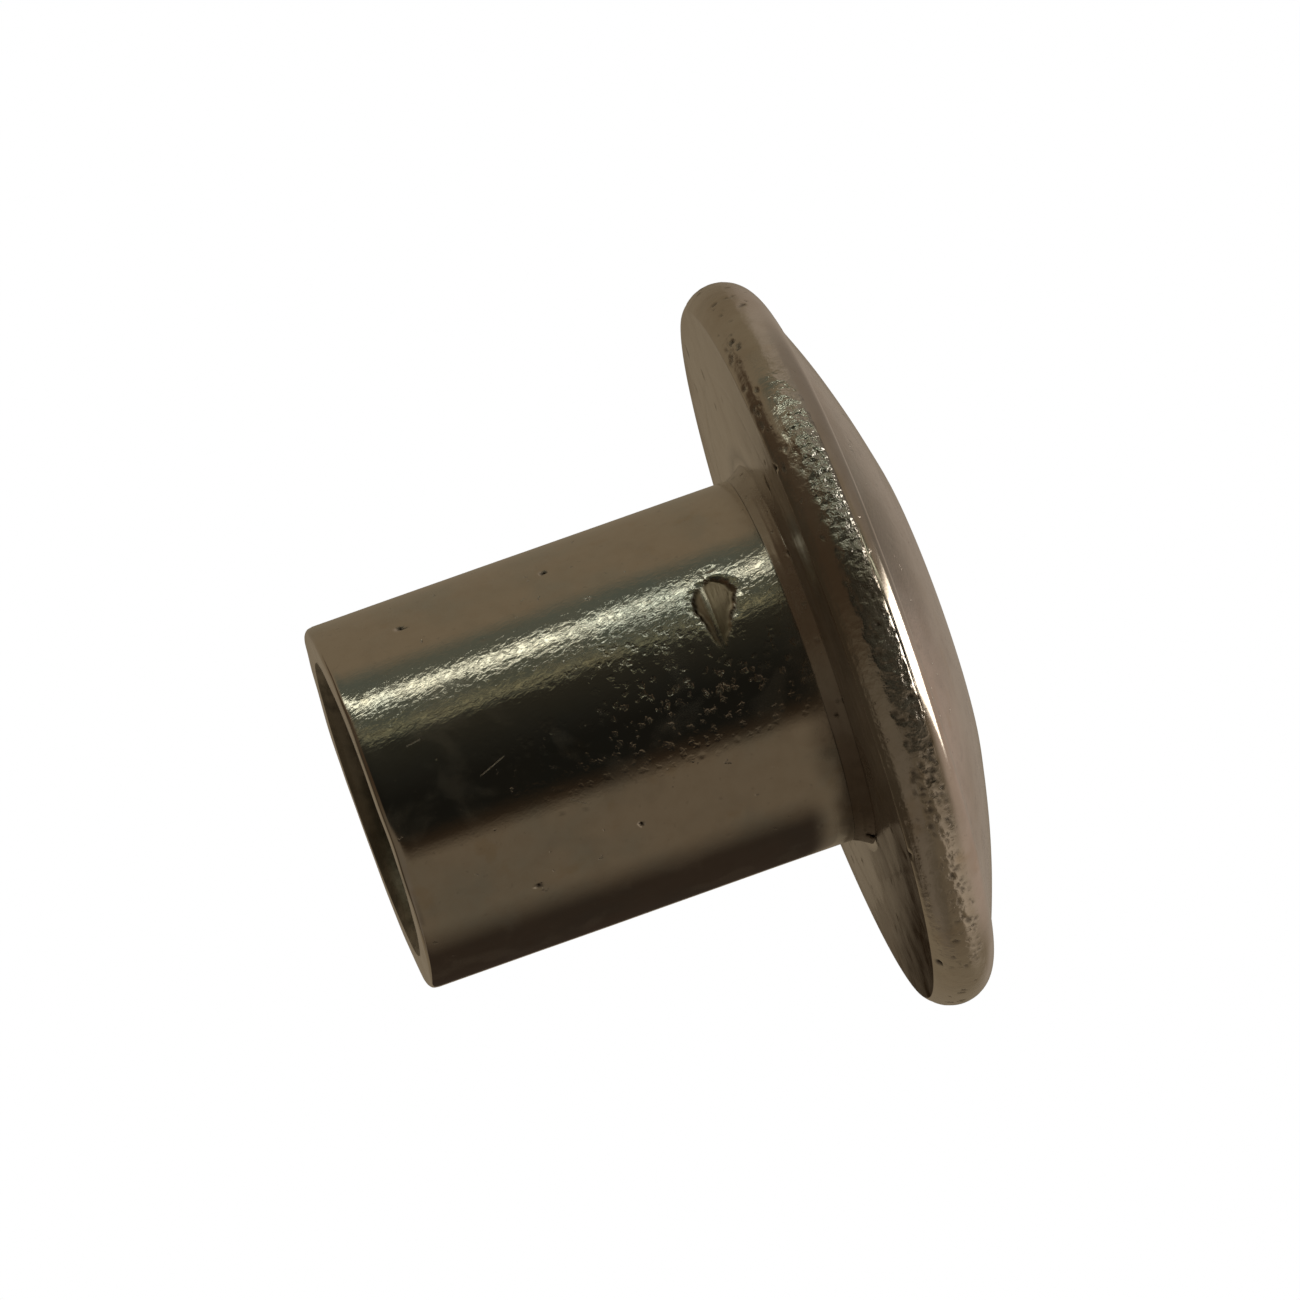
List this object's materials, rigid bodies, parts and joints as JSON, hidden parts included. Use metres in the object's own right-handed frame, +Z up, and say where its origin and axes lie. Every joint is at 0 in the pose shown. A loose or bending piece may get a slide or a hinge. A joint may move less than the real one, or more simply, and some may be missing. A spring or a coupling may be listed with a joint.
{
  "type": "thru hull fitting",
  "caption": "Plain-barrel thru-hull fitting: a smooth plated tube brazed into the back of a domed round flange, open right through for a drain or hose.",
  "frame": {"origin": "on the waterway's axis, in the plane of the flange's flat seat", "axes": "+X outboard along the waterway, from the barrel to the domed face; +Z up; the fitting is round about X"},
  "size_m": [0.0296, 0.038, 0.038],
  "materials": {
    "plated_barrel": "worn nickel plate on brass, bright with a fine grain and small pits",
    "plated_flange": "worn nickel plate on brass, orange-peel skin, pitted round the rim",
    "braze": "dull plated braze metal with small voids"
  },
  "bodies": {
    "root": {"barrel": "plated_barrel", "domed_flange": "plated_flange", "braze_ring": "braze"}
  },
  "joints": []
}
